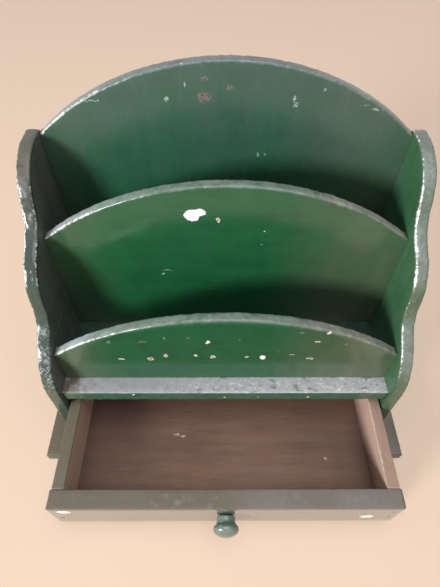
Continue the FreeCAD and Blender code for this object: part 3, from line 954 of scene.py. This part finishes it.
def pin_stains(nodes, plane):
    """Stains over the pins' heads, which lie outermost across a plane."""
    u, v, through = PLANE_AXES[plane]
    heads = []
    for node in nodes:
        spots = [vert.co for vert in frame["nodes"][node].data.vertices]
        level = max(abs(spot[through]) for spot in spots)
        for spot in spots:
            if abs(spot[through]) > level - SAME_LEVEL:
                corner = Vector((spot[u], spot[v]))
                head = next((head for head in heads if (head[0] - corner).length < SAME_HEAD), None)
                if head:
                    head.append(corner)
                else:
                    heads.append([corner])
    middles = [sum(head, Vector((0.0, 0.0))) / len(head) / MM for head in heads]
    return [(middle.x, middle.y, STAIN_SIZE, STAIN_SIZE) for middle in middles]


class LETTERRACK_OT_arched_boards(bpy.types.Operator):
    """Makes the back board and the two dividers"""

    bl_idname = "letter_rack.arched_boards"
    bl_label = "Arched Boards"

    def execute(self, context):
        shape = context.scene.letter_rack_shape
        divider = {"edges": 0.9, "edge": "arch_edge"}
        # Haze at the tops: partly painted reflection, most on the back board; ends: olive tone, partly
        # painted shade
        haze_and_sheen = 0.06
        self.board(shape, "back_board", shape.back_rise, DABBED, 0.34, BACK_CHIPS, REAR_CHIPS, ends=0.4,
                   edge="slate_and_shade", dull=0.12)
        self.board(shape, "middle_divider", shape.middle_rise, ACROSS, haze_and_sheen, MIDDLE_CHIPS, ends=0.7,
                   **divider)
        self.board(shape, "front_divider", shape.front_rise, ACROSS, haze_and_sheen, FRONT_CHIPS, ends=1.2,
                   **divider)
        return {"FINISHED"}

    def board(self, shape, node, rise, marks, haze_and_sheen, chips, rear_chips=None, **looks):
        """One board, with a paint of its own on the rear face where that has chips."""
        lowest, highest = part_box(node)
        film = (highest.z - HAZE_AND_SHEEN_DEPTH, highest.z, haze_and_sheen)
        looks["warm"] = True
        paint = green_paint(node + "_paint", marks, film, chips=("front", lowest.y, chips), **looks)
        rear = paint
        if rear_chips:
            rear = green_paint("rear_paint", marks, film, chips=("front", highest.y, rear_chips), **looks)
        worn_board(node, arch_outline(node, rise), "front", [paint, paint, rear], shape.arch_arris)


class LETTERRACK_OT_sides(bpy.types.Operator):
    """Makes the two scrolled side panels"""

    bl_idname = "letter_rack.sides"
    bl_label = "Scrolled Sides"

    def execute(self, context):
        arris = context.scene.letter_rack_shape.side_arris
        pins = ("shelf_pins", "middle_divider_pins", "front_divider_pins", "back_board_pins")
        stains = {"stain": pin_stains(pins, "side")}
        left_x = [corner.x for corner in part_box("left_side")]
        right_x = [corner.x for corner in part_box("right_side")]
        left_outer, right_outer = [
            green_paint(name, UPWARD, (*SOILED, 0.4), "grime", chips=("side", level, stains | chips))
            for name, level, chips in (("left_outer_paint", left_x[0], LEFT_OUTER_CHIPS),
                                       ("right_outer_paint", right_x[1], RIGHT_OUTER_CHIPS))]
        # The left side's edge is laid dark slate, partly painted shade, with silvery rasp marks as painted
        # glints.
        left_edge_shade_and_glint = green_paint("left_edge_paint", UPWARD, (*EVEN, 0.75), "slate_and_shade", dust=0.6,
                                dirt="grime", grit=0.0, drift=0.75, above=DUSTY_ABOVE, edges=0.7,
                                edge="slate_and_shade", rasp=(1.0, 0.85, RASP_FOOT, LEFT_RASP_TOP), polish=0.3)
        # The left side's inner face is laid greyish as painted shade; the right side's inner face keeps its
        # green.
        left_inner_shaded = green_paint("left_inner_paint", UPWARD, (*EVEN, 0.72), "smoke_and_shade",
                                 chips=("side", left_x[1], LEFT_CHIPS))
        right_edge = green_paint("right_edge_paint", UPWARD, (*EVEN, 0.55), "corner", dust=0.3, edges=0.42,
                                 rasp=(0.8, 0.2, RASP_FOOT, RIGHT_RASP_TOP))
        right_inner = green_paint("right_inner_paint", UPWARD, (*EVEN, 0.4), "dull")
        # The sides' arrises are rubbed pale where the light from the left glints: painted highlights.
        for node, materials, rubbed in (("left_side", [left_outer, left_edge_shade_and_glint, left_inner_shaded], (1.7, 1.2)),
                                        ("right_side", [right_inner, right_edge, right_outer], (1.7, 0.3))):
            worn_board(node, scroll_outline(node), "side", materials, arris, rubbed)
        return {"FINISHED"}


class LETTERRACK_OT_shelf_and_base(bpy.types.Operator):
    """Makes the letter shelf with its ledge, and the base"""

    bl_idname = "letter_rack.shelf_and_base"
    bl_label = "Shelf and Base"

    def execute(self, context):
        ledge_paint = green_paint("ledge_paint", ACROSS, (*EVEN, 0.07), "dust", dust=1.0, grit=0.0,
                                  bare=-0.1, ledge=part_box("front_divider")[0].y, edges=0.25,
                                  chips=("front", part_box("letter_shelf")[0].y, LEDGE_CHIPS))
        base_paint = green_paint("base_paint", ACROSS, (*EVEN, 0.6), "slate_and_shade", dust=0.95, dirt="grime",
                                 grit=0.0, bare=0.0, drift=0.45, edges=0.3)
        worn_board("letter_shelf", ledge_outline(), "plan", [ledge_paint] * 3)
        base = box_outline("base_board", "plan", (0.7, 0.7, 0.4, 0.7))
        worn_board("base_board", base, "plan", [base_paint] * 3)
        return {"FINISHED"}


class LETTERRACK_OT_drawer(bpy.types.Operator):
    """Makes the drawer's front, sides, back and bottom"""

    bl_idname = "letter_rack.drawer"
    bl_label = "Drawer"

    def execute(self, context):
        stains = {"stain": pin_stains(("drawer_front_pins",), "front")}
        chips = ("front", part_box("drawer_front")[0].y, stains | DRAWER_CHIPS)
        grimy = {"dirt": "grime", "grit": 0.0, "edges": 0.3}
        front_paint = green_paint("drawer_front_paint", ACROSS, (*EVEN, 0.6), "smoke_and_shade", chips=chips,
                                  dust=0.95, bare=0.1, drift=0.2, polish=0.85, **grimy)
        side_paint = green_paint("drawer_side_paint", INWARD, (*EVEN, 0.4), "grime", dust=0.92, bare=0.0,
                                 **grimy)
        # The left wall sits in shade and is laid wholly pale: partly the wood's pale tone, partly painted
        # light.
        pale_and_lit_left_wall_wood = bare_wood("drawer_side_wood", INWARD, rubbed=1.0)
        # The right wall darkens downwards from its top: painted shade.
        wall_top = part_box("drawer_right_side")[1]
        rubbed_and_shaded_wood = bare_wood("drawer_rubbed_wood", INWARD, 0.8, (wall_top, WALL_SHADE_REACH))
        top_wood = bare_wood("drawer_top_wood", INWARD, rubbed=0.38)
        front_wood = bare_wood("drawer_front_wood", ACROSS)
        # The floor darkens away from a lit middle near the front: painted shade under the ledge and by the
        # walls.
        floor_wood_shaded = bare_wood("drawer_floor_wood", ACROSS, 0.08, (LIT_FLOOR_MIDDLE, FLOOR_SHADE_REACH),
                               ("plan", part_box("drawer_bottom")[1].z, DRAWER_MARKS))
        all_worn = (0.4, 0.5, 0.5, 0.5)
        top_worn = (0.0, 0.0, 0.5, 0.0)
        rim_worn = (0.0, 0.2, 0.2, 0.2)
        # The right wall's inner top arris is rubbed to cream strongly: a painted highlight.
        for node, plane, wear, materials, rubbed in (
                ("drawer_front", "front", all_worn, [front_paint, front_paint, front_wood], (0.6, 0.3)),
                ("drawer_left_side", "side", top_worn, [side_paint, side_paint, pale_and_lit_left_wall_wood], RUBBED),
                ("drawer_right_side", "side", top_worn, [rubbed_and_shaded_wood, top_wood, side_paint], (3.4, 0.4)),
                ("drawer_back", "front", top_worn, [front_wood] * 3, RUBBED),
                ("drawer_bottom", "plan", rim_worn, [floor_wood_shaded] * 3, RUBBED)):
            worn_board(node, box_outline(node, plane, wear), plane, materials, rubbed=rubbed)
        return {"FINISHED"}


class LETTERRACK_OT_knob(bpy.types.Operator):
    """Turns the drawer's knob"""

    bl_idname = "letter_rack.knob"
    bl_label = "Turned Knob"

    def execute(self, context):
        lowest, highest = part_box("drawer_knob")
        middle = (lowest + highest) / 2
        mesh = bmesh.new()
        rings = []
        for radius, ahead in KNOB_SECTION:
            ring = []
            for k in range(KNOB_SIDES):
                turn = 2 * math.pi * k / KNOB_SIDES
                ring.append(mesh.verts.new((middle.x + radius * MM * math.cos(turn), highest.y - ahead * MM,
                                            middle.z + radius * MM * math.sin(turn))))
            rings.append(ring)
        for lower, upper in zip(rings, rings[1:]):
            for k in range(KNOB_SIDES):
                mesh.faces.new((lower[k - 1], lower[k], upper[k], upper[k - 1]))
        mesh.faces.new(rings[0])
        mesh.faces.new(rings[-1])
        paint = green_paint("knob_paint", UPWARD, (*EVEN, 0.2), "dust", dust=0.2, polish=1.0)
        knob = finished(mesh, "turned_knob", [paint], "drawer_knob")
        rounding = knob.modifiers.new("rounding", "SUBSURF")
        rounding.levels = KNOB_ROUNDING
        rounding.render_levels = KNOB_ROUNDING
        return {"FINISHED"}


class LETTERRACK_OT_fasteners(bpy.types.Operator):
    """Gives the pins and the knob's screw their steel"""

    bl_idname = "letter_rack.fasteners"
    bl_label = "Pins and Screw"

    def execute(self, context):
        steel = dull_steel()
        for row in frame["record"]["subparts"]:
            if row["material_slot"] == "steel":
                frame["nodes"][row["node"]].material_slots[0].material = steel
        return {"FINISHED"}


class LETTERRACK_OT_stage(bpy.types.Operator):
    """Sets up the floor, the lights and the camera"""

    bl_idname = "letter_rack.stage"
    bl_label = "Stage"

    def execute(self, context):
        stage = context.scene.letter_rack_stage
        context.scene.view_settings.view_transform = "Standard"
        self.floor(context, stage)
        for name in ("key", "fill"):
            self.light(context, stage, name)
        self.surround(context, stage)
        self.camera(context, stage)
        return {"FINISHED"}

    def seen(self, tree):
        """1 for what the camera sees, itself or in gloss, and 0 for light that falls on the rack."""
        ray = put_all(tree, "LightPath")
        reflected = ray["Is Glossy Ray"].calc("MAXIMUM", ray["Is Transmission Ray"])
        return ray["Is Camera Ray"].calc("MAXIMUM", reflected)

    def floor(self, context, stage):
        mesh = bmesh.new()
        bmesh.ops.create_grid(mesh, x_segments=1, y_segments=1, size=FLOOR_HALF)
        data = bpy.data.meshes.new("floor")
        mesh.to_mesh(data)
        mesh.free()
        floor = bpy.data.objects.new("floor", data)
        floor.location.z = CAD_BOX[0][2] - FLOOR_DROP
        context.scene.collection.objects.link(floor)
        material, tree, shader = new_material("pale_floor")
        fill(tree, shader, {"Base Color": opaque(stage.floor), "Roughness": 0.6})
        glow = put(tree, "Emission", {"Color": opaque(stage.backdrop)})
        plain = Value(tree, shader.outputs[0])
        mix = put(tree, "MixShader", {0: self.seen(tree) * stage.paleness, 1: plain, 2: glow})
        fill(tree, tree.nodes["Material Output"], {"Surface": mix})
        data.materials.append(material)

    def light(self, context, stage, name):
        data = bpy.data.lights.new(name, "AREA")
        data.energy = getattr(stage, name + "_power")
        data.size = getattr(stage, name + "_size")
        lamp = bpy.data.objects.new(name, data)
        lamp.location = getattr(stage, name + "_place")
        aim = Vector(stage.lit_place) - lamp.location
        lamp.rotation_euler = aim.to_track_quat("-Z", "Y").to_euler()
        context.scene.collection.objects.link(lamp)

    def surround(self, context, stage):
        world = bpy.data.worlds.new("surround")
        world.use_nodes = True
        tree = world.node_tree
        fill(tree, tree.nodes["Background"], {"Color": (1, 1, 1, 1),
                                              "Strength": self.seen(tree).calc("MAXIMUM", stage.surround)})
        context.scene.world = world

    def camera(self, context, stage):
        level = math.cos(stage.camera_pitch)
        ahead = Vector((math.sin(stage.camera_yaw) * level, math.cos(stage.camera_yaw) * level,
                        -math.sin(stage.camera_pitch)))
        right = ahead.cross(Vector((0, 0, 1))).normalized()
        up = right.cross(ahead)
        lean = Matrix.Rotation(-stage.camera_roll, 3, ahead)
        data = bpy.data.cameras.new("camera")
        data.lens = stage.lens
        data.sensor_width = SENSOR
        data.clip_start = NEAREST
        camera = bpy.data.objects.new("camera", data)
        axes = Matrix((lean @ right, lean @ up, -ahead)).transposed()
        camera.matrix_world = Matrix.Translation(stage.camera_place) @ axes.to_4x4()
        context.scene.collection.objects.link(camera)
        context.scene.camera = camera


STEPS = (LETTERRACK_OT_arched_boards, LETTERRACK_OT_sides, LETTERRACK_OT_shelf_and_base,
         LETTERRACK_OT_drawer, LETTERRACK_OT_knob, LETTERRACK_OT_fasteners, LETTERRACK_OT_stage)
SETTINGS = {"letter_rack_shape": LetterRackShape, "letter_rack_finish": LetterRackFinish,
            "letter_rack_stage": LetterRackStage}


class LETTERRACK_PT_panel(bpy.types.Panel):
    """Lists the settings and the steps in order"""

    bl_idname = "LETTERRACK_PT_panel"
    bl_label = "Letter Rack"
    bl_space_type = "VIEW_3D"
    bl_region_type = "UI"
    bl_category = "Letter Rack"

    def draw(self, context):
        for name, kind in SETTINGS.items():
            column = self.layout.column()
            for label in kind.__annotations__:
                column.prop(getattr(context.scene, name), label)
        for step in STEPS:
            self.layout.operator(step.bl_idname)


def register():
    for kind in (*SETTINGS.values(), *STEPS, LETTERRACK_PT_panel):
        bpy.utils.register_class(kind)
    for name, kind in SETTINGS.items():
        setattr(bpy.types.Scene, name, bpy.props.PointerProperty(type=kind))


def unregister():
    for name in SETTINGS:
        delattr(bpy.types.Scene, name)
    for kind in reversed((*SETTINGS.values(), *STEPS, LETTERRACK_PT_panel)):
        bpy.utils.unregister_class(kind)


def main():
    register()
    bpy.ops.letter_rack.arched_boards()
    bpy.ops.letter_rack.sides()
    bpy.ops.letter_rack.shelf_and_base()
    bpy.ops.letter_rack.drawer()
    bpy.ops.letter_rack.knob()
    bpy.ops.letter_rack.fasteners()
    bpy.ops.letter_rack.stage()


if __name__ == "__main__":
    main()
